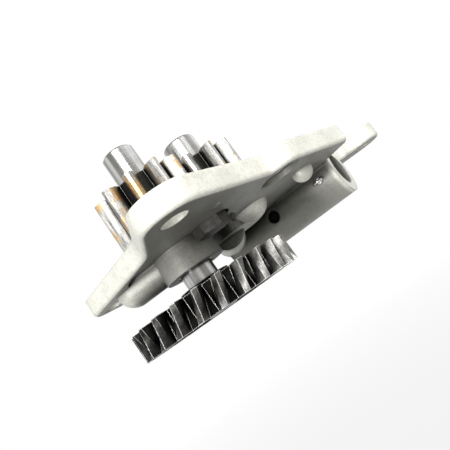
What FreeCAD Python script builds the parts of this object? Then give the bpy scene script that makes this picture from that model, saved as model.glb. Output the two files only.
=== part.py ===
import FreeCAD, Part
import math
import os

# Gear oil pump on its cover. The cover's mounting face is the plane z = 0 and the drive
# shaft stands on the origin. +Z points to the free ends of the two shafts and +Y from the
# front arm to the rear edge. The relief valve tube lies under the cover, turned a little
# to the front. All sizes are in millimetres.

SIZES = [
    ("plate_thickness", 9.0, "cover plate"),
    ("hole_radius", 5.5, "clearance holes for M10 bolts"),
    ("near_hole_x", 8.0, "bolt hole in the long front arm"),
    ("near_hole_y", -63.0, ""),
    ("near_lobe_radius", 13.0, ""),
    ("side_hole_x", 53.0, "bolt hole in the round side lobe"),
    ("side_hole_y", -18.0, ""),
    ("side_lobe_radius", 12.0, ""),
    ("end_hole_x", 119.0, "bolt hole beyond the mouth of the tube"),
    ("end_hole_y", 69.0, ""),
    ("end_lobe_radius", 10.5, ""),
    ("rear_hole_y", 83.0, "bolt hole straight behind the front arm's"),
    ("rear_lobe_radius", 11.0, ""),
    ("ear_hole_x", -44.0, "bolt hole in the left ear"),
    ("ear_hole_y", 16.0, ""),
    ("ear_lobe_radius", 10.0, ""),
    ("corner_x", 91.0, "centre of the right arm's corner"),
    ("corner_y", 12.5, ""),
    ("corner_radius", 3.5, ""),
    ("mouth_hollow_x", 88.7, "hollow bends of the edge in front of the tube's mouth"),
    ("mouth_hollow_y", 28.3, ""),
    ("mouth_hollow_radius", 4.0, ""),
    ("end_hollow_x", 103.5, ""),
    ("end_hollow_y", 57.5, ""),
    ("end_hollow_radius", 6.0, ""),
    ("waist_x", -34.5, "centre of the hollow bend between the ear and the front arm"),
    ("waist_y", -46.8, ""),
    ("waist_radius", 25.0, ""),
    ("notch_radius", 4.0, "hollow where the front edge meets the side lobe"),
    ("notch_angle", -98.8, ""),
    ("edge_rounding", 1.8, "cast edge under the plate"),
    ("driven_x", 27.0, "driven shaft, seen from the drive shaft"),
    ("driven_y", 26.0, ""),
    ("drive_shaft_radius", 8.0, ""),
    ("drive_shaft_top", 47.0, ""),
    ("driven_shaft_radius", 9.0, ""),
    ("driven_shaft_top", 43.2, ""),
    ("shaft_chamfer", 0.9, ""),
    ("seat_step", 0.5, "gear seat above the rest of each shaft, in radius"),
    ("seat_reach", 0.3, "gear seat past each face of its gear"),
    ("bush_wall", 1.5, ""),
    ("running_gap", 0.03, "radial play of a shaft in its bush"),
    ("assembly_gap", 0.01, "radial play of pieces that are fixed together"),
    ("face_gap", 0.12, "end play between the pump gears and the cover"),
    ("drive_boss_radius", 14.7, "bearing boss of the drive shaft"),
    ("drive_boss_depth", 19.0, "from the mounting face"),
    ("driven_boss_radius", 14.0, ""),
    ("driven_boss_depth", 13.0, ""),
    ("driven_bore_depth", 9.8, ""),
    ("gallery_radius", 9.0, "cast gallery from the drive boss to the ear"),
    ("gallery_end_x", -29.0, ""),
    ("gallery_end_y", 6.0, ""),
    ("side_face_radius", 9.6, "spot face round the side lobe's hole"),
    ("side_face_depth", 2.5, ""),
    ("link_x", 21.0, "cast gallery from the driven boss to the tube"),
    ("link_end_y", 72.0, ""),
    ("link_radius", 9.5, ""),
    ("bulge_x", 37.0, "cast bulge in front of the driven boss"),
    ("bulge_y", 10.0, ""),
    ("bulge_radius", 9.5, ""),
    ("bulge_drop", 6.0, "bulge's centre below the mounting face"),
    ("dome_x", 66.0, "small cast dome behind the front edge"),
    ("dome_y", 6.0, ""),
    ("dome_radius", 5.5, ""),
    ("recess_radius", 29.0, "shallow recess round the drive boss"),
    ("recess_depth", 2.2, ""),
    ("tube_mouth_x", 91.5, "centre of the relief valve tube's mouth"),
    ("tube_mouth_y", 41.5, ""),
    ("tube_axis_drop", 14.8, "tube axis below the mounting face"),
    ("tube_turn", 27.0, "tube from the X axis, its mouth to the front"),
    ("tube_length", 78.0, ""),
    ("tube_left_radius", 14.0, ""),
    ("tube_mouth_radius", 14.5, ""),
    ("valve_bore_radius", 9.6, ""),
    ("valve_ledge", 54.0, "from the mouth to the ledge that the plunger rests on"),
    ("feed_bore_radius", 7.25, "narrow stretch of the bore behind the ledge"),
    ("feed_bore_length", 9.0, ""),
    ("relief_port_reach", 42.0, "from the mouth"),
    ("relief_port_radius", 3.6, ""),
    ("plunger_length", 17.0, ""),
    ("plunger_wall", 2.0, ""),
    ("plunger_head", 4.0, "thickness of the plunger's closed end"),
    ("plunger_rest", 0.1, "plunger's head from the ledge"),
    ("sliding_gap", 0.04, ""),
    ("split_pin_reach", 10.0, "from the mouth"),
    ("split_pin_radius", 1.6, ""),
    ("pin_slit", 0.2, "between the two legs"),
    ("pin_tip_length", 4.0, ""),
    ("pin_tip_angle", 40.0, "tips bent away from the stem"),
    ("seat_thickness", 4.0, "spring seat"),
    ("shim_thickness", 1.0, ""),
    ("spring_wire", 1.8, ""),
    ("spring_coils", 7.0, ""),
    ("plug_x", 17.0, "hexagon plug under the cover"),
    ("plug_y", -22.0, ""),
    ("plug_across_flats", 14.0, ""),
    ("plug_head", 5.0, ""),
    ("plug_shank_radius", 4.2, ""),
    ("plug_washer_thickness", 1.2, ""),
    ("plug_face_radius", 9.6, "spot face round the plug"),
    ("vent_x", 23.0, "small drilling by the front edge"),
    ("vent_y", -44.0, ""),
    ("vent_radius", 1.5, ""),
    ("gear_run_radius", 23.2, "shallow milled seats that the pump gears run over"),
    ("gear_run_depth", 0.3, ""),
    ("port_radius", 4.6, "pockets and channel in the mounting face"),
    ("port_depth", 4.0, ""),
    ("port_reach", 14.0, "pockets from the point where the teeth mesh"),
    ("pump_teeth", 10.0, ""),
    ("pump_face", 29.0, "length of the pump gears"),
    ("pump_pressure_angle", 22.0, ""),
    ("tooth_backlash", 0.3, ""),
    ("drive_tooth_angle", 11.0, "a drive gear tooth from the line of centres"),
    ("drive_key_width", 4.0, ""),
    ("drive_key_height", 4.0, ""),
    ("pump_key_length", 16.0, ""),
    ("helical_teeth", 24.0, ""),
    ("helical_radius", 40.0, "outside radius"),
    ("helical_top", 28.6, "top face below the mounting face"),
    ("helical_face", 12.4, "face width"),
    ("helix_angle", 20.0, "right hand"),
    ("helical_pressure_angle", 14.5, ""),
    ("helical_tooth_turn", -2.5, "turns a tooth of the top face"),
    ("helical_chamfer", 0.7, ""),
    ("helical_web_radius", 29.0, "rim of the thinner web"),
    ("helical_web_depth", 2.0, ""),
    ("hub_radius", 12.5, ""),
    ("hub_rise", 3.0, ""),
    ("washer_radius", 12.0, ""),
    ("washer_thickness", 1.5, ""),
    ("circlip_thickness", 1.2, ""),
    ("circlip_groove_depth", 0.7, ""),
]

document = FreeCAD.newDocument("gear_oil_pump")
sheet = document.addObject("Spreadsheet::Sheet", "Sizes")
for row, (alias, number, words) in enumerate(SIZES, start=1):
    sheet.set("A%d" % row, alias)
    sheet.set("B%d" % row, str(number))
    sheet.set("C%d" % row, words)
    sheet.setAlias("B%d" % row, alias)
document.recompute()


def size(alias):
    """A driving size read from the sheet."""
    return float(sheet.get(alias))


def vector(x, y, z=0.0):
    return FreeCAD.Vector(x, y, z)


def polar(radius, degrees, centre=(0.0, 0.0)):
    """A point at a radius and an angle about a centre."""
    turn = math.radians(degrees)
    return (centre[0] + radius * math.cos(turn), centre[1] + radius * math.sin(turn))


# Places that several pieces share.
DRIVE = (0.0, 0.0)
DRIVEN = (size("driven_x"), size("driven_y"))
NEAR_HOLE = (size("near_hole_x"), size("near_hole_y"))
SIDE_HOLE = (size("side_hole_x"), size("side_hole_y"))
END_HOLE = (size("end_hole_x"), size("end_hole_y"))
REAR_HOLE = (size("near_hole_x"), size("rear_hole_y"))
EAR_HOLE = (size("ear_hole_x"), size("ear_hole_y"))
CENTRE_DISTANCE = math.hypot(*DRIVEN)
CENTRE_ANGLE = math.degrees(math.atan2(DRIVEN[1], DRIVEN[0]))
MODULE = CENTRE_DISTANCE / size("pump_teeth")
# Reaches along the tube are counted from its mouth inwards.
PLUNGER_START = size("valve_ledge") - size("plunger_rest")
SEAT_END = size("split_pin_reach") + size("split_pin_radius") + 0.2
SEAT_START = SEAT_END + size("seat_thickness")


def tube_place(reach, swing=0.0):
    """Where z = 0 goes for a piece turned about Z that is laid along the tube towards its mouth.

    A swing of 90 degrees points the piece across the tube, to the front.
    """
    heading = FreeCAD.Rotation(vector(0, 0, 1), -size("tube_turn") - swing)
    mouth = vector(size("tube_mouth_x"), size("tube_mouth_y"), -size("tube_axis_drop"))
    along = FreeCAD.Rotation(vector(0, 0, 1), -size("tube_turn")).multVec(vector(1, 0, 0))
    return FreeCAD.Placement(mouth - along * reach, heading * FreeCAD.Rotation(vector(0, 1, 0), 90))


def new_body(name):
    body = document.addObject("PartDesign::Body", name)
    body.Label = name
    return body


def origin_plane(body, role):
    for feature in body.Origin.OriginFeatures:
        if feature.Role == role:
            return feature
    raise ValueError("no origin plane " + role)


def new_sketch(body, name, curves, role="XY_Plane", height=None):
    """A sketch on one of the body's own planes; height is an expression for its offset."""
    sketch = body.newObject("Sketcher::SketchObject", name)
    sketch.AttachmentSupport = [(origin_plane(body, role), "")]
    sketch.MapMode = "FlatFace"
    sketch.addGeometry(curves, False)
    if height is not None:
        sketch.setExpression("AttachmentOffset.Base.z", height)
    return sketch


def pad(body, name, curves, length, height=None, downwards=True):
    feature = body.newObject("PartDesign::Pad", name)
    feature.Profile = new_sketch(body, name + "_outline", curves, height=height)
    feature.Reversed = downwards
    feature.setExpression("Length", length)
    body.Tip = feature
    return feature


def pocket(body, name, curves, length, height=None, upwards=False):
    """A pocket cut down from its sketch, or up into the solid above it."""
    feature = body.newObject("PartDesign::Pocket", name)
    feature.Profile = new_sketch(body, name + "_outline", curves, height=height)
    feature.Reversed = upwards
    feature.setExpression("Length", length)
    body.Tip = feature
    return feature


def turned(body, name, points, cut=False):
    """A closed radius-height profile turned about Z."""
    kind = "PartDesign::Groove" if cut else "PartDesign::Revolution"
    feature = body.newObject(kind, name)
    sketch = new_sketch(body, name + "_profile", closed_lines(points), role="XZ_Plane")
    feature.Profile = sketch
    feature.ReferenceAxis = (sketch, ["V_Axis"])
    feature.Angle = 360.0
    body.Tip = feature
    return feature


def closed_lines(points):
    corners = [vector(*point) for point in points]
    return [Part.LineSegment(a, b) for a, b in zip(corners, corners[1:] + corners[:1])]


def circle(centre, radius):
    return [Part.Circle(vector(*centre), vector(0, 0, 1), radius)]


def belt_outline(rounds):
    """Arcs joined by tangent lines, anticlockwise; a round is (centre, radius, bulges outwards)."""
    count = len(rounds)
    signed = [radius if outwards else -radius for centre, radius, outwards in rounds]
    normals = []
    for index in range(count):
        after = (index + 1) % count
        along = vector(*rounds[after][0]) - vector(*rounds[index][0])
        share = (signed[index] - signed[after]) / along.Length
        along.normalize()
        outward = vector(along.y, -along.x)
        normals.append(along * share + outward * math.sqrt(1.0 - share * share))
    curves = []
    for index, (centre, radius, outwards) in enumerate(rounds):
        middle = vector(*centre)
        first, last = normals[index - 1], normals[index]
        start_angle = math.degrees(math.atan2(first.y, first.x))
        end_angle = math.degrees(math.atan2(last.y, last.x))
        if outwards:
            sweep = (end_angle - start_angle) % 360.0
        else:
            sweep = -((start_angle - end_angle) % 360.0)
        halfway = vector(*polar(1.0, start_angle + sweep / 2.0))
        start = middle + first * signed[index]
        end = middle + last * signed[index]
        curves.append(Part.Arc(start, middle + halfway * signed[index], end))
        after = (index + 1) % count
        following = vector(*rounds[after][0]) + last * signed[after]
        curves.append(Part.LineSegment(end, following))
    return curves


def slot(start, end, radius):
    """A straight slot with round ends."""
    along = vector(*end) - vector(*start)
    along.normalize()
    across = vector(-along.y, along.x) * radius
    first = vector(*start)
    last = vector(*end)
    return [
        Part.LineSegment(first - across, last - across),
        Part.Arc(last - across, last + along * radius, last + across),
        Part.LineSegment(last + across, first + across),
        Part.Arc(first + across, first - along * radius, first - across),
    ]


def keyed_bore(radius, width, top, turn, centre=(0.0, 0.0)):
    """A round bore with a keyway; top is the keyway's floor from the axis, turn its angle."""
    half = math.degrees(math.asin(width / 2.0 / radius))
    top_half = math.degrees(math.atan2(width / 2.0, top))
    reach = math.hypot(top, width / 2.0)
    left = vector(*polar(radius, turn + half, centre))
    right = vector(*polar(radius, turn - half, centre))
    left_top = vector(*polar(reach, turn + top_half, centre))
    right_top = vector(*polar(reach, turn - top_half, centre))
    opposite = vector(*polar(radius, turn + 180.0, centre))
    return [
        Part.Arc(left, opposite, right),
        Part.LineSegment(right, right_top),
        Part.LineSegment(right_top, left_top),
        Part.LineSegment(left_top, left),
    ]


def involute(angle):
    return math.tan(angle) - angle


def tooth_ring(module, teeth, pressure_angle, tip, root, thinning, turn, centre=(0.0, 0.0)):
    """The closed outline of a gear with involute flanks; one tooth is centred on turn degrees."""
    pitch = module * teeth / 2.0
    pressure = math.radians(pressure_angle)
    base = pitch * math.cos(pressure)
    half_pitch = (math.pi * module / 2.0 - thinning) / (2.0 * pitch)

    def half_angle(radius):
        local = math.acos(min(1.0, base / radius))
        return math.degrees(half_pitch + involute(pressure) - involute(local))

    low = max(base, root) * 1.004
    middle = (low + tip) / 2.0
    low_half = half_angle(low)
    root_half = low_half * 0.96
    step = 360.0 / teeth
    curves = []
    for index in range(int(teeth)):
        at = turn + index * step

        def point(radius, offset):
            return vector(*polar(radius, at + offset, centre))

        curves.append(Part.LineSegment(point(root, -root_half), point(low, -low_half)))
        curves.append(Part.Arc(point(low, -low_half), point(middle, -half_angle(middle)),
                               point(tip, -half_angle(tip))))
        curves.append(Part.Arc(point(tip, -half_angle(tip)), point(tip, 0.0),
                               point(tip, half_angle(tip))))
        curves.append(Part.Arc(point(tip, half_angle(tip)), point(middle, half_angle(middle)),
                               point(low, low_half)))
        curves.append(Part.LineSegment(point(low, low_half), point(root, root_half)))
        curves.append(Part.Arc(point(root, root_half), point(root, step / 2.0),
                               point(root, step - root_half)))
    return curves


def build_cover():
    body = new_body("pump_cover")
    lobes = [
        (NEAR_HOLE, size("near_lobe_radius")),
        (SIDE_HOLE, size("side_lobe_radius")),
        (END_HOLE, size("end_lobe_radius")),
        (REAR_HOLE, size("rear_lobe_radius")),
        (EAR_HOLE, size("ear_lobe_radius")),
    ]
    near, side, end, rear, ear = [lobe + (True,) for lobe in lobes]
    notch_radius = size("notch_radius")
    notch_centre = polar(side[1] + notch_radius + 0.3, size("notch_angle"), SIDE_HOLE)
    outline = belt_outline([
        near,
        (notch_centre, notch_radius, False),
        side,
        ((size("corner_x"), size("corner_y")), size("corner_radius"), True),
        ((size("mouth_hollow_x"), size("mouth_hollow_y")), size("mouth_hollow_radius"), False),
        ((size("end_hollow_x"), size("end_hollow_y")), size("end_hollow_radius"), False),
        end,
        rear,
        ear,
        ((size("waist_x"), size("waist_y")), size("waist_radius"), False),
    ])
    plate = pad(body, "plate", outline, "Sizes.plate_thickness")
    document.recompute()
    under = [index for index, edge in enumerate(plate.Shape.Edges, start=1)
             if abs(edge.BoundBox.ZMax + size("plate_thickness")) < 0.001]
    rounding = body.newObject("PartDesign::Fillet", "cast_edge")
    rounding.Base = (plate, ["Edge%d" % index for index in under])
    rounding.setExpression("Radius", "Sizes.edge_rounding")
    body.Tip = rounding
    pocket(body, "recess", circle(DRIVE, size("recess_radius")), "Sizes.recess_depth",
           height="-Sizes.plate_thickness", upwards=True)
    pocket(body, "side_face", circle(SIDE_HOLE, size("side_face_radius")), "Sizes.side_face_depth",
           height="-Sizes.plate_thickness", upwards=True)
    pocket(body, "plug_face", circle((size("plug_x"), size("plug_y")), size("plug_face_radius")),
           "Sizes.recess_depth", height="-Sizes.plate_thickness", upwards=True)
    pad(body, "drive_boss", circle(DRIVE, size("drive_boss_radius")), "Sizes.drive_boss_depth")
    pad(body, "driven_boss", circle(DRIVEN, size("driven_boss_radius")), "Sizes.driven_boss_depth")
    gallery = body.newObject("PartDesign::AdditiveCylinder", "gallery")
    reach = math.hypot(size("gallery_end_x"), size("gallery_end_y"))
    heading = math.degrees(math.atan2(size("gallery_end_y"), size("gallery_end_x")))
    gallery.setExpression("Radius", "Sizes.gallery_radius")
    gallery.Height = reach
    turn = FreeCAD.Rotation(vector(0, 0, 1), heading) * FreeCAD.Rotation(vector(0, 1, 0), 90)
    gallery.Placement = FreeCAD.Placement(vector(0, 0, -size("plate_thickness")), turn)
    body.Tip = gallery
    dome = body.newObject("PartDesign::AdditiveSphere", "gallery_end")
    dome.setExpression("Radius", "Sizes.gallery_radius")
    dome.Placement = FreeCAD.Placement(
        vector(size("gallery_end_x"), size("gallery_end_y"), -size("plate_thickness")),
        FreeCAD.Rotation())
    body.Tip = dome
    link = body.newObject("PartDesign::AdditiveCylinder", "link_gallery")
    link.setExpression("Radius", "Sizes.link_radius")
    link.setExpression("Height", "Sizes.link_end_y - Sizes.driven_y")
    link.Placement = FreeCAD.Placement(vector(size("link_x"), DRIVEN[1], -size("plate_thickness")),
                                       FreeCAD.Rotation(vector(1, 0, 0), -90))
    body.Tip = link
    bulge = body.newObject("PartDesign::AdditiveSphere", "driven_bulge")
    bulge.setExpression("Radius", "Sizes.bulge_radius")
    bulge.Placement = FreeCAD.Placement(
        vector(size("bulge_x"), size("bulge_y"), -size("bulge_drop")), FreeCAD.Rotation())
    body.Tip = bulge
    pip = body.newObject("PartDesign::AdditiveSphere", "small_dome")
    pip.setExpression("Radius", "Sizes.dome_radius")
    pip.Placement = FreeCAD.Placement(
        vector(size("dome_x"), size("dome_y"), -size("plate_thickness")), FreeCAD.Rotation())
    body.Tip = pip
    tube = body.newObject("PartDesign::AdditiveCone", "relief_tube")
    tube.setExpression("Radius1", "Sizes.tube_left_radius")
    tube.setExpression("Radius2", "Sizes.tube_mouth_radius")
    tube.setExpression("Height", "Sizes.tube_length")
    tube.Placement = tube_place(size("tube_length"))
    body.Tip = tube
    face = body.newObject("PartDesign::Pocket", "faced")
    margin = 400.0
    face.Profile = new_sketch(body, "faced_outline", closed_lines(
        [(-margin, -margin), (margin, -margin), (margin, margin), (-margin, margin)]))
    face.Reversed = True
    face.Length = 40.0
    body.Tip = face
    bore = body.newObject("PartDesign::SubtractiveCylinder", "valve_bore")
    bore.setExpression("Radius", "Sizes.valve_bore_radius")
    bore.setExpression("Height", "Sizes.valve_ledge + 5")
    bore.Placement = tube_place(size("valve_ledge"))
    body.Tip = bore
    feed_bore = body.newObject("PartDesign::SubtractiveCylinder", "feed_bore")
    feed_bore.setExpression("Radius", "Sizes.feed_bore_radius")
    feed_bore.setExpression("Height", "Sizes.feed_bore_length + 1")
    feed_end = size("valve_ledge") + size("feed_bore_length")
    feed_bore.Placement = tube_place(feed_end)
    body.Tip = feed_bore
    port = body.newObject("PartDesign::SubtractiveCylinder", "relief_port")
    port.setExpression("Radius", "Sizes.relief_port_radius")
    port.setExpression("Height", "Sizes.tube_mouth_radius + Sizes.tube_left_radius")
    port.Placement = tube_place(size("relief_port_reach"), 90.0)
    body.Tip = port
    pin_hole = body.newObject("PartDesign::SubtractiveCylinder", "split_pin_hole")
    pin_hole.Radius = size("split_pin_radius") + size("assembly_gap")
    pin_hole.Height = 4 * size("tube_mouth_radius")
    across = tube_place(size("split_pin_reach"), 90.0)
    pin_hole.Placement = across * FreeCAD.Placement(vector(0, 0, -2 * size("tube_mouth_radius")),
                                                    FreeCAD.Rotation())
    body.Tip = pin_hole
    through = "Sizes.plate_thickness"
    for index, (centre, radius) in enumerate(lobes):
        pocket(body, "bolt_hole_%d" % index, circle(centre, size("hole_radius")), through)
    pocket(body, "vent", circle((size("vent_x"), size("vent_y")), size("vent_radius")), through)
    pocket(body, "plug_hole", circle((size("plug_x"), size("plug_y")),
                                     size("plug_shank_radius") + size("assembly_gap")), through)
    drive_bore = size("drive_shaft_radius") + size("running_gap") + size("bush_wall")
    pocket(body, "drive_bore", circle(DRIVE, drive_bore + size("assembly_gap")), "Sizes.drive_boss_depth")
    driven_bore = size("driven_shaft_radius") + size("running_gap") + size("bush_wall")
    pocket(body, "driven_bore", circle(DRIVEN, driven_bore + size("assembly_gap")),
           "Sizes.driven_bore_depth")
    for name, centre in (("drive_run", DRIVE), ("driven_run", DRIVEN)):
        pocket(body, name, circle(centre, size("gear_run_radius")), "Sizes.gear_run_depth")
    mesh = (DRIVEN[0] / 2.0, DRIVEN[1] / 2.0)
    inlet = polar(size("port_reach"), CENTRE_ANGLE - 90.0, mesh)
    outlet = polar(size("port_reach"), CENTRE_ANGLE + 90.0, mesh)
    pocket(body, "inlet_pocket", circle(inlet, size("port_radius")), "Sizes.port_depth")
    feed_point = tube_place(feed_end - size("port_radius")).Base
    feed = (feed_point.x, feed_point.y)
    pocket(body, "outlet_channel", slot(outlet, feed, size("port_radius")), "Sizes.port_depth")
    pocket(body, "feed", circle(feed, size("port_radius") - 1.0), "Sizes.tube_axis_drop")
    return body


def build_bush(name, centre, shaft_radius, bottom, top):
    body = new_body(name)
    inner = shaft_radius + size("running_gap")
    outer = inner + size("bush_wall")
    turned(body, name + "_turned", [(inner, bottom), (outer, bottom), (outer, top), (inner, top)])
    body.Placement = FreeCAD.Placement(vector(*centre), FreeCAD.Rotation())
    return body


def shaft_profile(radius, bottom, top, groove=None):
    """Half section of a shaft with chamfered ends and a gear seat; groove is (low, high, depth)."""
    chamfer = size("shaft_chamfer")
    seat = radius + size("seat_step")
    seat_low = size("face_gap") - size("seat_reach")
    seat_high = GEAR_TOP + size("seat_reach")
    points = [(0.0, bottom), (radius - chamfer, bottom), (radius, bottom + chamfer)]
    if groove:
        low, high, depth = groove
        points += [(radius, low), (radius - depth, low), (radius - depth, high), (radius, high)]
    points += [(radius, seat_low), (seat, seat_low), (seat, seat_high), (radius, seat_high),
               (radius, top - chamfer), (radius - chamfer, top), (0.0, top)]
    return points


KEY_WIDTH = size("drive_key_width")
KEY_DEPTH = size("drive_key_height") * 0.6
GEAR_TOP = size("face_gap") + size("pump_face")
GEAR_MIDDLE = size("face_gap") + size("pump_face") / 2.0
HELICAL_TOP = -size("helical_top")
HELICAL_BOTTOM = HELICAL_TOP - size("helical_face")
WEB_BOTTOM = HELICAL_BOTTOM + size("circlip_thickness") + size("washer_thickness") + 1.2
CIRCLIP_TOP = WEB_BOTTOM - size("washer_thickness")
CIRCLIP_BOTTOM = CIRCLIP_TOP - size("circlip_thickness")
HELICAL_KEY_LENGTH = HELICAL_TOP + size("hub_rise") - WEB_BOTTOM - 2.0
HELICAL_MIDDLE = (HELICAL_TOP + size("hub_rise") + WEB_BOTTOM) / 2.0
DRIVE_SEAT = size("drive_shaft_radius") + size("seat_step")
DRIVEN_SEAT = size("driven_shaft_radius") + size("seat_step")
DRIVE_KEY_TURN = 90.0
DRIVEN_KEY_TURN = -60.0


def key_seat(body, name, radius, middle, length, turn):
    """Cuts the seat of a key into a shaft."""
    seat = body.newObject("PartDesign::SubtractiveBox", name)
    seat.Length = size("drive_key_height")
    seat.Width = KEY_WIDTH
    seat.Height = length
    rotation = FreeCAD.Rotation(vector(0, 0, 1), turn)
    corner = rotation.multVec(vector(radius - KEY_DEPTH, -KEY_WIDTH / 2.0))
    seat.Placement = FreeCAD.Placement(corner + vector(0, 0, middle - length / 2.0), rotation)
    body.Tip = seat


def build_key(name, centre, radius, middle, length, turn):
    key = document.addObject("Part::Box", name)
    key.Label = name
    gap = size("assembly_gap")
    key.Length = size("drive_key_height") - 2 * gap
    key.Width = KEY_WIDTH - 2 * gap
    key.Height = length - 2 * gap
    rotation = FreeCAD.Rotation(vector(0, 0, 1), turn)
    corner = rotation.multVec(vector(radius - KEY_DEPTH + gap, -KEY_WIDTH / 2.0 + gap))
    base = vector(*centre) + corner + vector(0, 0, middle - length / 2.0 + gap)
    key.Placement = FreeCAD.Placement(base, rotation)
    return key


def build_drive_shaft():
    body = new_body("drive_shaft")
    radius = size("drive_shaft_radius")
    bottom = CIRCLIP_BOTTOM - 1.1
    groove = (CIRCLIP_BOTTOM, CIRCLIP_TOP, size("circlip_groove_depth"))
    turned(body, "drive_shaft_turned", shaft_profile(radius, bottom, size("drive_shaft_top"), groove))
    seat = radius + size("seat_step")
    key_seat(body, "pump_key_seat", seat, GEAR_MIDDLE, size("pump_key_length"), DRIVE_KEY_TURN)
    key_seat(body, "helical_key_seat", radius, HELICAL_MIDDLE, HELICAL_KEY_LENGTH, DRIVE_KEY_TURN)
    return body


def build_driven_shaft():
    body = new_body("driven_shaft")
    radius = size("driven_shaft_radius")
    bottom = -size("driven_bore_depth") + 0.3
    turned(body, "driven_shaft_turned", shaft_profile(radius, bottom, size("driven_shaft_top")))
    seat = radius + size("seat_step")
    key_seat(body, "driven_key_seat", seat, GEAR_MIDDLE, size("pump_key_length"), DRIVEN_KEY_TURN)
    body.Placement = FreeCAD.Placement(vector(*DRIVEN), FreeCAD.Rotation())
    return body


def build_pump_gear(name, centre, seat_radius, tooth_turn, key_turn):
    """A spur pump gear with its keyed bore; one tooth is centred on tooth_turn."""
    body = new_body(name)
    pitch = MODULE * size("pump_teeth") / 2.0
    teeth = tooth_ring(MODULE, size("pump_teeth"), size("pump_pressure_angle"),
                       pitch + MODULE, pitch - 1.25 * MODULE, size("tooth_backlash"), tooth_turn)
    bore = seat_radius + size("assembly_gap")
    keyway_floor = seat_radius - KEY_DEPTH + size("drive_key_height") + 0.2
    curves = teeth + keyed_bore(bore, KEY_WIDTH, keyway_floor, key_turn)
    pad(body, name + "_teeth", curves, "Sizes.pump_face", height="Sizes.face_gap", downwards=False)
    body.Placement = FreeCAD.Placement(vector(*centre), FreeCAD.Rotation())
    return body


def build_helical_gear():
    body = new_body("helical_drive_gear")
    teeth = size("helical_teeth")
    spread = 1.0 / math.cos(math.radians(size("helix_angle")))
    module = 2.0 * size("helical_radius") / (teeth * spread + 2.0)
    transverse = module * spread
    pitch = transverse * teeth / 2.0
    root = pitch - 1.25 * module
    twist = math.degrees(size("helical_face") * math.tan(math.radians(size("helix_angle"))) / pitch)
    sections = []
    for name, height, turn in (("lower", "-Sizes.helical_top - Sizes.helical_face", -twist),
                               ("upper", "-Sizes.helical_top", 0.0)):
        ring = tooth_ring(transverse, teeth, size("helical_pressure_angle"), size("helical_radius"),
                          root, size("tooth_backlash"), size("helical_tooth_turn") + turn)
        sections.append(new_sketch(body, name + "_teeth", ring, height=height))
    loft = body.newObject("PartDesign::AdditiveLoft", "helical_teeth")
    loft.Profile = sections[0]
    loft.Sections = [sections[1]]
    loft.Ruled = True
    body.Tip = loft
    pad(body, "hub", circle(DRIVE, size("hub_radius")), "Sizes.hub_rise",
        height="-Sizes.helical_top", downwards=False)
    outer = size("helical_radius") + 1.0
    cut = size("helical_chamfer") + 1.0
    turned(body, "top_chamfer", [(outer, HELICAL_TOP + 1.0), (outer, HELICAL_TOP - cut + 1.0),
                                 (outer - cut - 1.0, HELICAL_TOP + 1.0)], cut=True)
    turned(body, "bottom_chamfer", [(outer, HELICAL_BOTTOM - 1.0), (outer, HELICAL_BOTTOM + cut - 1.0),
                                    (outer - cut - 1.0, HELICAL_BOTTOM - 1.0)], cut=True)
    inner = size("hub_radius") + 1.5
    rim = size("helical_web_radius")
    depth = size("helical_web_depth")
    turned(body, "top_web", [(inner, HELICAL_TOP), (rim, HELICAL_TOP), (rim - depth, HELICAL_TOP - depth),
                             (inner, HELICAL_TOP - depth)], cut=True)
    turned(body, "bottom_web", [(inner, HELICAL_BOTTOM), (rim, HELICAL_BOTTOM),
                                (rim - depth, HELICAL_BOTTOM + depth),
                                (inner, HELICAL_BOTTOM + depth)], cut=True)
    turned(body, "washer_seat", [(0.0, HELICAL_BOTTOM), (inner, HELICAL_BOTTOM),
                                 (inner, WEB_BOTTOM), (0.0, WEB_BOTTOM)], cut=True)
    radius = size("drive_shaft_radius")
    keyway_floor = radius - KEY_DEPTH + size("drive_key_height") + 0.2
    pocket(body, "keyed_bore", keyed_bore(radius + size("assembly_gap"), KEY_WIDTH, keyway_floor,
                                          DRIVE_KEY_TURN),
           "Sizes.hub_rise + Sizes.helical_face", height="-Sizes.helical_top + Sizes.hub_rise")
    return body


def build_washer():
    body = new_body("helical_thrust_washer")
    inner = size("drive_shaft_radius") + 0.15
    outer = size("washer_radius")
    turned(body, "washer_turned", [(inner, CIRCLIP_TOP), (outer, CIRCLIP_TOP), (outer, WEB_BOTTOM),
                                   (inner, WEB_BOTTOM)])
    return body


def build_circlip():
    """An open ring in the groove at the shaft's lower end, with two eyes."""
    body = new_body("drive_circlip")
    inner = size("drive_shaft_radius") - size("circlip_groove_depth") + size("assembly_gap")
    outer = size("drive_shaft_radius") + 1.5
    gap = 16.0
    curves = [
        Part.Arc(vector(*polar(outer, gap)), vector(*polar(outer, 180.0)), vector(*polar(outer, -gap))),
        Part.LineSegment(vector(*polar(outer, -gap)), vector(*polar(inner, -gap))),
        Part.Arc(vector(*polar(inner, -gap)), vector(*polar(inner, 180.0)), vector(*polar(inner, gap))),
        Part.LineSegment(vector(*polar(inner, gap)), vector(*polar(outer, gap))),
    ]
    feature = pad(body, "circlip_ring", curves, "Sizes.circlip_thickness")
    feature.Profile[0].AttachmentOffset = FreeCAD.Placement(vector(0, 0, CIRCLIP_TOP), FreeCAD.Rotation())
    return body


def build_plunger():
    body = new_body("relief_plunger")
    radius = size("valve_bore_radius") - size("sliding_gap")
    wall = size("plunger_wall")
    length = size("plunger_length")
    head = size("plunger_head")
    waist = radius - 0.8
    points = [
        (0.0, 0.0), (radius - 1.6, 0.0), (radius, 1.6), (radius, 5.0), (waist, 5.4), (waist, 6.6),
        (radius, 7.0), (radius, length - 0.5), (radius - 0.5, length), (radius - wall, length),
        (radius - wall, head), (0.0, head),
    ]
    turned(body, "plunger_turned", points)
    body.Placement = tube_place(PLUNGER_START)
    return body


SPRING_START = PLUNGER_START - size("plunger_head")
SPRING_END = SEAT_START + size("shim_thickness")


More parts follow.
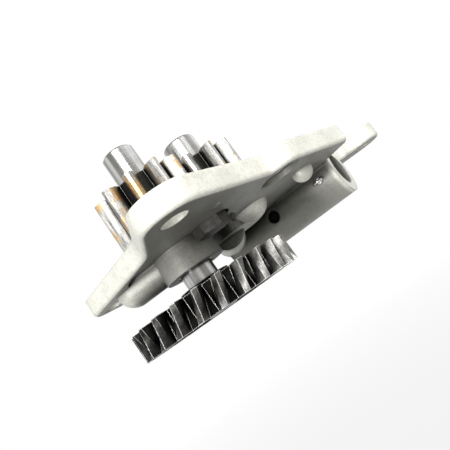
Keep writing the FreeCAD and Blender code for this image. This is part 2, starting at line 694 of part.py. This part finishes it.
def build_spring():
    """The relief spring: a helix of round wire with closed ends."""
    wire = size("spring_wire") / 2.0
    mean = size("valve_bore_radius") - size("sliding_gap") - size("plunger_wall") - wire - 0.35
    length = SPRING_START - SPRING_END - 2 * wire - 0.1
    path = Part.makeHelix(length / size("spring_coils"), length, mean)
    section = Part.Wire([Part.makeCircle(wire, vector(mean, 0, 0), vector(0, 1, 0))])
    shell = Part.Wire(path.Edges).makePipeShell([section], True, True)
    spring = document.addObject("Part::Feature", "relief_spring")
    spring.Label = "relief_spring"
    spring.Shape = shell
    spring.Placement = tube_place(SPRING_START - wire - 0.05)
    return spring


def build_disc(name, radius, inner, reach, thickness):
    """A disc across the valve bore; reach is its inner face's from the mouth."""
    body = new_body(name)
    turned(body, name + "_turned", [(inner, 0.0), (radius, 0.0), (radius, thickness), (inner, thickness)])
    body.Placement = tube_place(reach)
    return body


def build_split_pin():
    """A split pin across the tube: a slit stem, an eye in front and two parted tips behind."""
    radius = size("split_pin_radius")
    front = size("tube_mouth_radius") - 0.4
    length = 2 * front + 1.5
    across = tube_place(size("split_pin_reach"), 90.0)

    def local(x, y, z, rotation=FreeCAD.Rotation()):
        return across * FreeCAD.Placement(vector(x, y, z), rotation)

    stem = document.addObject("Part::Cylinder", "pin_stem")
    stem.setExpression("Radius", "Sizes.split_pin_radius")
    stem.Height = length
    stem.Placement = local(0, 0, front - length)
    eye = document.addObject("Part::Torus", "pin_eye")
    eye.Radius1 = radius * 1.35
    eye.Radius2 = radius * 0.55
    eye.Placement = local(0, 0, front + radius * 0.9, FreeCAD.Rotation(vector(0, 1, 0), 90))
    slit = document.addObject("Part::Box", "pin_slit")
    slit.Length = 3 * radius
    slit.Width = size("pin_slit")
    slit.Height = length
    slit.Placement = local(-1.5 * radius, -size("pin_slit") / 2.0, -front - radius - 1.5)
    legs = document.addObject("Part::Cut", "pin_legs")
    legs.Base = stem
    legs.Tool = slit
    tips = []
    for name, side in (("pin_tip_left", -1.0), ("pin_tip_right", 1.0)):
        tip = document.addObject("Part::Cylinder", name)
        tip.Radius = radius * 0.45
        tip.Height = size("pin_tip_length")
        turn = FreeCAD.Rotation(vector(1, 0, 0), 180 - side * size("pin_tip_angle"))
        tip.Placement = local(0, side * radius * 0.5, front - length + radius * 0.5, turn)
        tips.append(tip)
    pin = document.addObject("Part::MultiFuse", "relief_split_pin")
    pin.Shapes = [legs, eye] + tips
    pin.Label = "relief_split_pin"
    return pin


def hexagon(centre, across_flats, turn):
    corner = across_flats / math.sqrt(3.0)
    return closed_lines([polar(corner, turn + 60.0 * side, centre) for side in range(6)])


def build_plug():
    body = new_body("gallery_plug")
    centre = (size("plug_x"), size("plug_y"))
    head_top = -size("plate_thickness") + size("recess_depth") - size("plug_washer_thickness")
    head = pad(body, "plug_head", hexagon(centre, size("plug_across_flats"), 0.0), "Sizes.plug_head")
    head.Profile[0].AttachmentOffset = FreeCAD.Placement(vector(0, 0, head_top), FreeCAD.Rotation())
    shank = pad(body, "plug_shank", circle(centre, size("plug_shank_radius")),
                "Sizes.plate_thickness - Sizes.recess_depth + Sizes.plug_washer_thickness - 1",
                downwards=False)
    shank.Profile[0].AttachmentOffset = FreeCAD.Placement(vector(0, 0, head_top), FreeCAD.Rotation())
    return body


def build_plug_washer():
    body = new_body("gallery_plug_washer")
    centre = vector(size("plug_x"), size("plug_y"))
    top = -size("plate_thickness") + size("recess_depth")
    bottom = top - size("plug_washer_thickness")
    inner = size("plug_shank_radius") + 0.1
    outer = size("plug_across_flats") / 2.0 + 0.6
    turned(body, "plug_washer_turned", [(inner, bottom), (outer, bottom), (outer, top), (inner, top)])
    body.Placement = FreeCAD.Placement(centre, FreeCAD.Rotation())
    return body


TOOTH_STEP = 360.0 / size("pump_teeth")
DRIVE_TOOTH = CENTRE_ANGLE + size("drive_tooth_angle")
DRIVEN_TOOTH = CENTRE_ANGLE + 180.0 - (size("drive_tooth_angle") - TOOTH_STEP / 2.0)

pieces = [
    build_cover(),
    build_bush("drive_shaft_bush", DRIVE, size("drive_shaft_radius"),
               -size("drive_boss_depth") + 0.4, -0.4),
    build_bush("driven_shaft_bush", DRIVEN, size("driven_shaft_radius"),
               -size("driven_bore_depth") + 0.1, -0.4),
    build_drive_shaft(),
    build_driven_shaft(),
    build_pump_gear("drive_pump_gear", DRIVE, DRIVE_SEAT, DRIVE_TOOTH, DRIVE_KEY_TURN),
    build_pump_gear("driven_pump_gear", DRIVEN, DRIVEN_SEAT, DRIVEN_TOOTH, DRIVEN_KEY_TURN),
    build_key("drive_gear_key", DRIVE, DRIVE_SEAT, GEAR_MIDDLE,
              size("pump_key_length"), DRIVE_KEY_TURN),
    build_key("driven_gear_key", DRIVEN, DRIVEN_SEAT, GEAR_MIDDLE,
              size("pump_key_length"), DRIVEN_KEY_TURN),
    build_helical_gear(),
    build_key("helical_gear_key", DRIVE, size("drive_shaft_radius"), HELICAL_MIDDLE,
              HELICAL_KEY_LENGTH, DRIVE_KEY_TURN),
    build_washer(),
    build_circlip(),
    build_plunger(),
    build_spring(),
    build_disc("relief_spring_shim", size("valve_bore_radius") - 0.25, 2.5,
               SPRING_END, size("shim_thickness")),
    build_disc("relief_spring_seat", size("valve_bore_radius") - 0.15, 1.5,
               SEAT_START, size("seat_thickness")),
    build_split_pin(),
    build_plug(),
    build_plug_washer(),
]
document.recompute()

for item in document.Objects:
    if any(word in item.State for word in ("Invalid", "Error")):
        raise RuntimeError(item.Name + " failed: " + ", ".join(item.State))

os.makedirs("parts", exist_ok=True)
for piece in pieces:
    shape = piece.Shape
    if shape.isNull() or not shape.isValid() or not shape.Solids:
        raise RuntimeError(piece.Label + " has no valid solid")
    print("%-24s %9.1f mm3 %2d solid  z %.2f to %.2f" % (
        piece.Label, shape.Volume, len(shape.Solids), shape.BoundBox.ZMin, shape.BoundBox.ZMax))
    shape.exportStep(os.path.join("parts", piece.Label + ".step"))
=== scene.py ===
import bpy
import math
from mathutils import Matrix, Vector


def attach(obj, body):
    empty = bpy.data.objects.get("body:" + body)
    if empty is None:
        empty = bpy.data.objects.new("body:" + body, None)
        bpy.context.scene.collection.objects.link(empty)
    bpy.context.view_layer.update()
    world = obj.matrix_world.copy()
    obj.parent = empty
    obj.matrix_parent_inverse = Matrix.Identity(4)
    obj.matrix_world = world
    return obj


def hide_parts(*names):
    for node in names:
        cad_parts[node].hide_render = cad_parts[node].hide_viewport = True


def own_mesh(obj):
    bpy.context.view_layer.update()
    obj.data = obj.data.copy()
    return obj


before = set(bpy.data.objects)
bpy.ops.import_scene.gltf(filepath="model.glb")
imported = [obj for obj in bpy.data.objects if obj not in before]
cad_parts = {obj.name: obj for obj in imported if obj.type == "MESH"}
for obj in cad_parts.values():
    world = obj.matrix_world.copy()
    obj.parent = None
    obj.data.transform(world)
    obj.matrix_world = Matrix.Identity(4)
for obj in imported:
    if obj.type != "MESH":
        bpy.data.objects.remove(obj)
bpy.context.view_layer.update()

scene = bpy.context.scene
scene.view_settings.view_transform = "Standard"

WHITE = (1.0, 1.0, 1.0)

# Places on the part, in metres. The cover's machined top face lies at z = 0.
BOLT_HOLES = ((0.008, -0.063), (0.053, -0.018), (0.119, 0.069), (0.008, 0.083), (-0.044, 0.016))
DRIVE_AXIS = (0.0, 0.0)
DRIVEN_AXIS = (0.027, 0.026)
TUBE_MOUTH = (0.0915, 0.0415, -0.0148)
TUBE_TURN = math.radians(-27.0)

# The root and the tip radius of the teeth, and how high on a tooth the painted shade
# of the gaps starts and is full.
PUMP_TEETH = (0.01405, 0.02249)
HELICAL_TEETH = (0.0331, 0.04)
GAP_TOP = 0.75
GAP_FLOOR = 0.2

# Where a mask starts and where it is full, in metres.
HOLE_WALL = (0.0057, 0.0054)
TOP_FACE = (-0.0006, -0.0004)
UNDERSIDE = (-0.0104, -0.0096)
TUBE_WALL = (0.0157, 0.0149)
TUBE_TOP = (-0.0085, -0.0105)
TUBE_RIM = (-0.0012, -0.003)
# The span, along X, of the painted shade on one side of the teeth.
SHADE_ACROSS_TEETH = (-0.028, 0.045)

# The same for the upright share of the normal.
FACING_UP = (0.985, 0.995)
FACING_DOWN = (-0.86, -0.99)
UPRIGHT = (0.9, 0.7)
CHAMFER_LOW = (0.35, 0.5)
CHAMFER_HIGH = (0.93, 0.85)

# Radii over which the normals turn at an edge.
CAST_EDGE = 0.0016
STEEL_EDGE = 0.0003
WORN_HIGHLIT_EDGE = 0.0006


class Nodes:
    """The nodes of a material or of a world, with short ways to add and join them."""

    def __init__(self, owner):
        owner.use_nodes = True
        self.tree = owner.node_tree

    def add(self, kind, **values):
        node = self.tree.nodes.new(kind)
        for key, value in values.items():
            setattr(node, key, value)
        return node

    def link(self, source, target):
        self.tree.links.new(source, target)

    def put(self, socket, value):
        if isinstance(value, (float, tuple)):
            socket.default_value = value
        else:
            self.link(value, socket)

    def ramp(self, factor, stops):
        node = self.add("ShaderNodeValToRGB")
        ramp = node.color_ramp
        while len(ramp.elements) < len(stops):
            ramp.elements.new(0.5)
        for element, (position, colour) in zip(ramp.elements, stops):
            element.position = position
            element.color = (*colour, 1.0)
        self.link(factor, node.inputs["Fac"])
        return node.outputs["Color"]

    def fade(self, factor, low, high, to_low=0.0, to_high=1.0, kind="LINEAR"):
        node = self.add("ShaderNodeMapRange", interpolation_type=kind)
        self.link(factor, node.inputs["Value"])
        node.inputs["From Min"].default_value = low
        node.inputs["From Max"].default_value = high
        node.inputs["To Min"].default_value = to_low
        node.inputs["To Max"].default_value = to_high
        return node.outputs["Result"]

    def maths(self, operation, first, second=0.0):
        node = self.add("ShaderNodeMath", operation=operation)
        self.put(node.inputs[0], first)
        self.put(node.inputs[1], second)
        return node.outputs[0]

    def product(self, first, second):
        return self.maths("MULTIPLY", first, second)

    def vectors(self, operation, first, second=None):
        node = self.add("ShaderNodeVectorMath", operation=operation)
        self.link(first, node.inputs[0])
        if second is not None:
            self.put(node.inputs[1], second)
        return node.outputs

    def component(self, vector, name):
        node = self.add("ShaderNodeSeparateXYZ")
        self.link(vector, node.inputs[0])
        return node.outputs[name]

    def background_rays(self):
        """One for the rays that show the background: straight, mirrored or through glass."""
        path = self.add("ShaderNodeLightPath")
        seen = path.outputs["Is Camera Ray"]
        for kind in ("Is Glossy Ray", "Is Transmission Ray"):
            seen = self.maths("MAXIMUM", seen, path.outputs[kind])
        return seen

    def either(self, factor, first, second):
        """The first shader, or the second where the factor is one."""
        node = self.add("ShaderNodeMixShader")
        self.link(factor, node.inputs["Fac"])
        self.link(first, node.inputs[1])
        self.link(second, node.inputs[2])
        return node.outputs[0]


class Net(Nodes):
    """A material: a coordinate in metres, tones that vary over it, and a bump for the grain."""

    def __init__(self, name):
        self.material = bpy.data.materials.new(name)
        super().__init__(self.material)
        self.shader = self.tree.nodes["Principled BSDF"]
        self.place = self.add("ShaderNodeTexCoord").outputs["Object"]

    def noise(self, scale, detail, roughness):
        """A noise with one scale, or with a scale for each axis."""
        node = self.add("ShaderNodeTexNoise")
        node.inputs["Detail"].default_value = detail
        node.inputs["Roughness"].default_value = roughness
        if isinstance(scale, tuple):
            node.inputs["Scale"].default_value = 1.0
            self.link(self.stretched(scale), node.inputs["Vector"])
        else:
            node.inputs["Scale"].default_value = scale
            self.link(self.place, node.inputs["Vector"])
        return node.outputs["Fac"]

    def stretched(self, scales):
        node = self.add("ShaderNodeMapping")
        node.inputs["Scale"].default_value = scales
        self.link(self.place, node.inputs["Vector"])
        return node.outputs["Vector"]

    def spread(self, noise, low, high):
        """A value that follows a noise, from low to high."""
        return self.fade(noise, 0.3, 0.7, low, high)

    def mix(self, factor, first, second, blend="MIX"):
        node = self.add("ShaderNodeMix", data_type="RGBA", blend_type=blend)
        self.put(node.inputs[0], factor)
        for socket, value in ((node.inputs[6], first), (node.inputs[7], second)):
            self.put(socket, (*value, 1.0) if isinstance(value, tuple) else value)
        return node.outputs[2]

    def stain_and_shade(self, share, colour, factor, low, dark, high):
        """A share of the colour, darkened by a tone that is dark at low and white at high; used for
        real stains and for painted shade and reflection.
        """
        tone = self.ramp(factor, [(low, dark), (high, WHITE)])
        return self.mix(share, colour, tone, "MULTIPLY")

    def height(self):
        return self.component(self.place, "Z")

    def slope(self):
        """The upright share of the normal: one on a face that looks up, nought on a wall."""
        return self.component(self.add("ShaderNodeNewGeometry").outputs["Normal"], "Z")

    def from_axis(self, x, y):
        """The distance from an upright axis."""
        return self.vectors("DISTANCE", self.stretched((1.0, 1.0, 0.0)), (x, y, 0.0))["Value"]

    def rounded(self, radius):
        """A normal that turns softly over edges and in corners."""
        node = self.add("ShaderNodeBevel", samples=6)
        node.inputs["Radius"].default_value = radius
        return node.outputs["Normal"]

    def edges(self, radius):
        """One on sharp edges and nought on the faces between them."""
        true = self.add("ShaderNodeNewGeometry").outputs["True Normal"]
        turn = self.vectors("DOT_PRODUCT", self.rounded(radius), true)["Value"]
        return self.fade(turn, 0.98, 0.86)

    def painted_corner_shade(self, colour, distance, stops, unshaded=None):
        """The colour, with painted shade darkening its corners and gaps, except where the given mask
        is one.
        """
        node = self.add("ShaderNodeAmbientOcclusion", samples=8)
        node.inputs["Distance"].default_value = distance
        shade = self.ramp(node.outputs["AO"], [(share, (level,) * 3) for share, level in stops])
        if unshaded is not None:
            shade = self.mix(unshaded, shade, WHITE)
        return self.mix(1.0, colour, shade, "MULTIPLY")

    def bump(self, *layers, normal=None):
        for height, distance, strength in layers:
            node = self.add("ShaderNodeBump")
            node.inputs["Distance"].default_value = distance
            node.inputs["Strength"].default_value = strength
            self.link(height, node.inputs["Height"])
            if normal is not None:
                self.link(normal, node.inputs["Normal"])
            normal = node.outputs["Normal"]
        self.link(normal, self.shader.inputs["Normal"])

    def finish(self, colour, roughness, metallic):
        self.put(self.shader.inputs["Base Color"], colour)
        self.put(self.shader.inputs["Roughness"], roughness)
        self.put(self.shader.inputs["Metallic"], metallic)
        return self.material


def in_bolt_holes(net):
    """One on the walls of the bolt holes."""
    inside = 0.0
    for x, y in BOLT_HOLES:
        inside = net.maths("MAXIMUM", inside, net.fade(net.from_axis(x, y), *HOLE_WALL))
    return inside


def on_tube(net):
    """One on the valve tube's outside, which lies round an axis aslant in the cover."""
    turn = net.add("ShaderNodeMapping", vector_type="TEXTURE")
    turn.inputs["Location"].default_value = TUBE_MOUTH
    turn.inputs["Rotation"].default_value = (0.0, 0.0, TUBE_TURN)
    net.link(net.place, turn.inputs["Vector"])
    along = turn.outputs["Vector"]
    across = net.vectors("MULTIPLY", along, (0.0, 1.0, 1.0))["Vector"]
    wall = net.fade(net.vectors("LENGTH", across)["Value"], *TUBE_WALL)
    below = net.fade(net.height(), *TUBE_TOP)
    inward = net.fade(net.component(along, "X"), *TUBE_RIM)
    return net.product(wall, net.product(below, inward))


def cast_aluminium():
    """A blasted casting with a machined top face, and painted shade on its down-facing underside, on
    its tube and in its corners.
    """
    net = Net("cast_aluminium")
    patches = net.noise(55.0, 4.0, 0.6)
    blotches = net.noise(420.0, 4.0, 0.65)
    sand = net.noise(1700.0, 3.0, 0.6)
    colour = net.ramp(patches, [(0.3, (0.7, 0.695, 0.63)), (0.68, (0.84, 0.835, 0.76))])
    colour = net.stain_and_shade(0.55, colour, blotches, 0.36, (0.8, 0.79, 0.74), 0.56)
    colour = net.stain_and_shade(0.45, colour, sand, 0.36, (0.68, 0.67, 0.64), 0.54)

    machined = net.product(net.fade(net.slope(), *FACING_UP), net.fade(net.height(), *TOP_FACE))
    turning = net.noise((40.0, 2600.0, 40.0), 3.0, 0.6)
    bright = net.ramp(turning, [(0.3, (0.46, 0.46, 0.45)), (0.7, (0.62, 0.62, 0.605))])
    colour = net.mix(machined, colour, bright)

    # Painted shade: the down-facing flats of the underside, and the tube below the plate, are
    # darkened almost to black.
    flats = net.product(net.fade(net.slope(), *FACING_DOWN), net.fade(net.height(), *UNDERSIDE))
    flats = net.product(flats, net.spread(patches, 0.7, 0.88))
    painted_shade = net.maths("MAXIMUM", flats, net.product(on_tube(net), 0.55))
    colour = net.mix(painted_shade, colour, (0.05, 0.049, 0.043))

    # Painted shade in the casting's corners and gaps, left off on the bolt-hole walls.
    colour = net.painted_corner_shade(colour, 0.024, ((0.12, 0.015), (0.42, 0.22), (0.78, 1.0)),
                       unshaded=in_bolt_holes(net))
    net.bump((sand, 0.0002, 0.5), (blotches, 0.0003, 0.3), normal=net.rounded(CAST_EDGE))
    return net.finish(colour, net.spread(sand, 0.34, 0.5), 0.2)


def ground_steel():
    """A ground shaft: painted reflection bands along it, fine lines round it, dark chamfers, and
    painted shade in its corners.
    """
    net = Net("ground_steel")
    lines = net.noise((60.0, 60.0, 3200.0), 4.0, 0.65)
    streaks = net.noise((420.0, 420.0, 14.0), 3.0, 0.6)
    # Painted reflection: dark bands along the shaft.
    reflection_bands = net.noise((240.0, 240.0, 3.0), 2.0, 0.5)
    smudge = net.noise(120.0, 3.0, 0.6)
    colour = net.ramp(smudge, [(0.35, (0.62, 0.615, 0.6)), (0.65, (0.8, 0.8, 0.795))])
    colour = net.stain_and_shade(0.6, colour, streaks, 0.3, (0.5, 0.49, 0.47), 0.62)
    colour = net.stain_and_shade(0.8, colour, reflection_bands, 0.37, (0.2, 0.195, 0.18), 0.56)
    # Painted shade in the shaft's corners.
    colour = net.painted_corner_shade(colour, 0.006, ((0.15, 0.1), (0.8, 1.0)))
    slope = net.maths("ABSOLUTE", net.slope())
    chamfer = net.product(net.fade(slope, *CHAMFER_LOW), net.fade(slope, *CHAMFER_HIGH))
    colour = net.mix(net.product(chamfer, 0.85), colour, (0.06, 0.058, 0.05))
    net.bump((lines, 0.00003, 0.3), normal=net.rounded(STEEL_EDGE))
    return net.finish(colour, net.spread(lines, 0.16, 0.28), 1.0)


def gear_steel(name, axis, teeth, tones, tint, share, shine, wear_and_highlight,
               shaded_side=1.0, grain=(520.0, 520.0, 70.0)):
    """Toothed steel: a mottled film with tinted patches, painted shade that darkens it down into the
    gaps and towards one side, and bright edges that are partly wear and partly painted highlight.
    """
    net = Net(name)
    root, tip = teeth
    film = net.noise(grain, 4.0, 0.65)
    wear = net.noise(75.0, 3.0, 0.55)
    speck = net.noise(1500.0, 3.0, 0.6)
    strokes = net.noise((1400.0, 1400.0, 50.0), 3.0, 0.6)
    colour = net.ramp(film, [(0.36, tones[0]), (0.6, tones[1])])
    colour = net.mix(net.fade(wear, 0.62 - share, 0.68 - share), colour, tint)

    upright = net.fade(net.maths("ABSOLUTE", net.slope()), *UPRIGHT)
    # Painted shade: the tooth walls go dark down into the gaps.
    gap_shade = net.fade(net.from_axis(*axis), root + GAP_TOP * (tip - root),
                    root + GAP_FLOOR * (tip - root))
    colour = net.mix(net.product(gap_shade, upright), colour, (0.014, 0.014, 0.013))
    colour = net.stain_and_shade(0.5, colour, strokes, 0.3, (0.6, 0.6, 0.6), 0.65)
    colour = net.stain_and_shade(0.6, colour, speck, 0.36, (0.4, 0.39, 0.38), 0.5)
    # Painted shade: the gear is darker towards its side at low X.
    painted_shade = net.fade(net.component(net.place, "X"), *SHADE_ACROSS_TEETH)
    colour = net.stain_and_shade(1.0, colour, painted_shade, 0.0, (shaded_side,) * 3, 1.0)
    # Painted shade in the gears' corners and tooth gaps.
    colour = net.painted_corner_shade(colour, 0.006, ((0.1, 0.1), (0.6, 1.0)))
    # Bright edges: partly real wear, partly painted highlight.
    colour = net.mix(net.product(net.edges(WORN_HIGHLIT_EDGE), wear_and_highlight), colour, (0.78, 0.77, 0.73))
    net.bump((strokes, 0.00006, 0.4), (speck, 0.00008, 0.35), normal=net.rounded(STEEL_EDGE))
    return net.finish(colour, net.spread(film, shine, shine + 0.16), 1.0)


def plain_metal(name, low, high, roughness):
    """A small metal piece: a film between two tones, with fine dark specks."""
    net = Net(name)
    film = net.noise(300.0, 3.0, 0.6)
    fine = net.noise(2100.0, 2.0, 0.5)
    colour = net.ramp(film, [(0.35, low), (0.65, high)])
    colour = net.stain_and_shade(0.4, colour, fine, 0.35, (0.7, 0.7, 0.7), 0.6)
    net.bump((fine, 0.00006, 0.3))
    return net.finish(colour, net.spread(fine, roughness, roughness + 0.15), 1.0)


steel = ground_steel()
looks = {
    "pump_cover": cast_aluminium(),
    "drive_shaft": steel,
    "driven_shaft": steel,
    "relief_plunger": plain_metal("plunger_metal", (0.012, 0.012, 0.012), (0.03, 0.03, 0.03), 0.4),
    "drive_pump_gear": gear_steel(
        "drive_gear_metal", DRIVE_AXIS, PUMP_TEETH,
        tones=((0.2, 0.195, 0.185), (0.62, 0.61, 0.585)), tint=(0.52, 0.36, 0.19),
        share=0.11, shine=0.33, wear_and_highlight=0.2),
    "driven_pump_gear": gear_steel(
        "driven_gear_metal", DRIVEN_AXIS, PUMP_TEETH,
        tones=((0.22, 0.215, 0.205), (0.66, 0.65, 0.625)), tint=(0.48, 0.37, 0.23),
        share=0.12, shine=0.33, wear_and_highlight=0.2),
    # The helical gear has strong painted shade on one side, and bright edges of wear and painted
    # highlight.
    "helical_drive_gear": gear_steel(
        "helical_gear_metal", DRIVE_AXIS, HELICAL_TEETH,
        tones=((0.17, 0.167, 0.157), (0.31, 0.305, 0.29)), tint=(0.46, 0.45, 0.42),
        share=0.08, shine=0.4, wear_and_highlight=0.8, shaded_side=0.08, grain=(420.0, 420.0, 420.0)),
    "drive_gear_key": plain_metal("key_metal", (0.4, 0.4, 0.4), (0.52, 0.52, 0.52), 0.3),
    "drive_shaft_bush": plain_metal("bush_metal", (0.46, 0.3, 0.15), (0.6, 0.42, 0.22), 0.25),
    "helical_thrust_washer": plain_metal("washer_metal", (0.42, 0.42, 0.42), (0.58, 0.58, 0.57), 0.3),
    "drive_circlip": plain_metal("spring_metal", (0.16, 0.16, 0.17), (0.26, 0.27, 0.28), 0.3),
    "relief_split_pin": plain_metal("pin_metal", (0.6, 0.6, 0.58), (0.75, 0.75, 0.73), 0.25),
    # The plug's colour is darkened as painted shade.
    "gallery_plug": plain_metal("plug_metal_painted_shade", (0.07, 0.068, 0.062), (0.14, 0.136, 0.125), 0.45),
    "gallery_plug_washer": plain_metal("copper_metal", (0.55, 0.28, 0.16), (0.68, 0.38, 0.24), 0.3),
}
same = {
    "driven_gear_key": "drive_gear_key",
    "helical_gear_key": "drive_gear_key",
    "driven_shaft_bush": "drive_shaft_bush",
    "relief_spring": "drive_circlip",
    "relief_spring_shim": "helical_thrust_washer",
    "relief_spring_seat": "helical_thrust_washer",
}
for node, other in same.items():
    looks[node] = looks[other]
for node, material in looks.items():
    thing = bpy.data.objects[node]
    thing.data.materials.clear()
    thing.data.materials.append(material)


# The relief spring shortens along its tube, towards its outer end, as the valve opens.
# Here it gets a copy with a mesh of its own on the cover's body, and the original is hidden.
spring = bpy.data.objects["relief_spring"].copy()
spring.data = spring.data.copy()
spring.name = "valve_spring"
scene.collection.objects.link(spring)
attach(spring, "cover")
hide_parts("relief_spring")
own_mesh(spring)


# The photograph's camera: below the cover, looking up at its underside.
camera = bpy.data.objects.new("camera", bpy.data.cameras.new("camera"))
scene.collection.objects.link(camera)
camera.data.lens = 39.2
camera.data.sensor_width = 36.0
camera.data.clip_start = 0.01
right = Vector((0.81667, 0.06722, -0.57318))
down = Vector((-0.57656, 0.13827, -0.80527))
forward = Vector((0.02513, 0.98811, 0.15168))
turn = Matrix((right, -down, -forward)).transposed().to_4x4()
camera.matrix_world = Matrix.Translation((0.01654, -0.21958, -0.04386)) @ turn
scene.camera = camera


# The floor lies far below. As a background it is white, a little less so near the object.
FLOOR_SIZE = 40.0
FLOOR_HEIGHT = -0.3


def floor_look():
    net = Net("floor_look")
    grain = net.noise(14.0, 3.0, 0.5)
    colour = net.ramp(grain, [(0.3, (0.15, 0.15, 0.147)), (0.7, (0.18, 0.18, 0.177))])
    net.finish(colour, 0.9, 0.0)
    distance = net.vectors("LENGTH", net.place)["Value"]
    share = net.fade(distance, 0.3, 1.6, to_low=0.86, to_high=1.0)
    white = net.add("ShaderNodeEmission").outputs[0]
    mixed = net.either(net.product(share, net.background_rays()), net.shader.outputs[0], white)
    net.link(mixed, net.tree.nodes["Material Output"].inputs["Surface"])
    return net.material


bpy.ops.mesh.primitive_plane_add(size=FLOOR_SIZE, location=(0.0, 0.0, FLOOR_HEIGHT))
floor = bpy.context.object
floor.name = "floor"
floor.data.materials.append(floor_look())


# The studio's light comes from the picture's upper side. Dark flags stand between the
# lit headings, which are in degrees and go with a share of the light.
PICTURE_UP = (0.577, -0.138, 0.805)
HEADINGS = ((-180, 0.3), (-152, 0.75), (-122, 1.0), (-98, 0.3), (-82, 1.0), (-58, 0.95),
            (-42, 0.22), (-22, 0.95), (25, 1.0), (65, 0.35), (100, 0.6), (180, 0.3))


def world_look():
    scene.world = bpy.data.worlds.new("studio")
    net = Nodes(scene.world)
    way = net.add("ShaderNodeTexCoord").outputs["Generated"]
    upward = net.vectors("DOT_PRODUCT", way, PICTURE_UP)["Value"]
    strength = net.fade(upward, -0.3, 0.5, to_low=0.02, to_high=0.85, kind="SMOOTHSTEP")
    heading = net.maths("ARCTAN2", net.component(way, "Y"), net.component(way, "X"))
    share = net.fade(heading, -math.pi, math.pi)
    flags = net.ramp(share, [((degrees + 180) / 360.0, (level,) * 3) for degrees, level in HEADINGS])
    plain = net.tree.nodes["Background"]
    plain.inputs["Color"].default_value = (1.0, 0.995, 0.98, 1.0)
    net.link(net.product(strength, flags), plain.inputs["Strength"])
    white = net.add("ShaderNodeBackground")
    white.inputs["Color"].default_value = (*WHITE, 1.0)
    mixed = net.either(net.background_rays(), plain.outputs[0], white.outputs[0])
    net.link(mixed, net.tree.nodes["World Output"].inputs["Surface"])


world_look()


def lamp(name, position, target, width, height, watts):
    data = bpy.data.lights.new(name, "AREA")
    data.shape = "RECTANGLE"
    data.size = width
    data.size_y = height
    data.energy = watts
    thing = bpy.data.objects.new(name, data)
    thing.location = position
    way = Vector(target) - Vector(position)
    thing.rotation_euler = way.to_track_quat("-Z", "Y").to_euler()
    scene.collection.objects.link(thing)


middle = (0.02, 0.0, 0.0)
lamp("key_lamp", (0.5, -0.4, 0.6), middle, 0.4, 0.4, 3.5)
lamp("front_lamp", (0.05, -0.85, 0.4), middle, 0.5, 0.3, 8.5)
lamp("left_lamp", (-0.45, -0.65, -0.22), (0.0, -0.01, -0.02), 0.2, 0.2, 5.0)
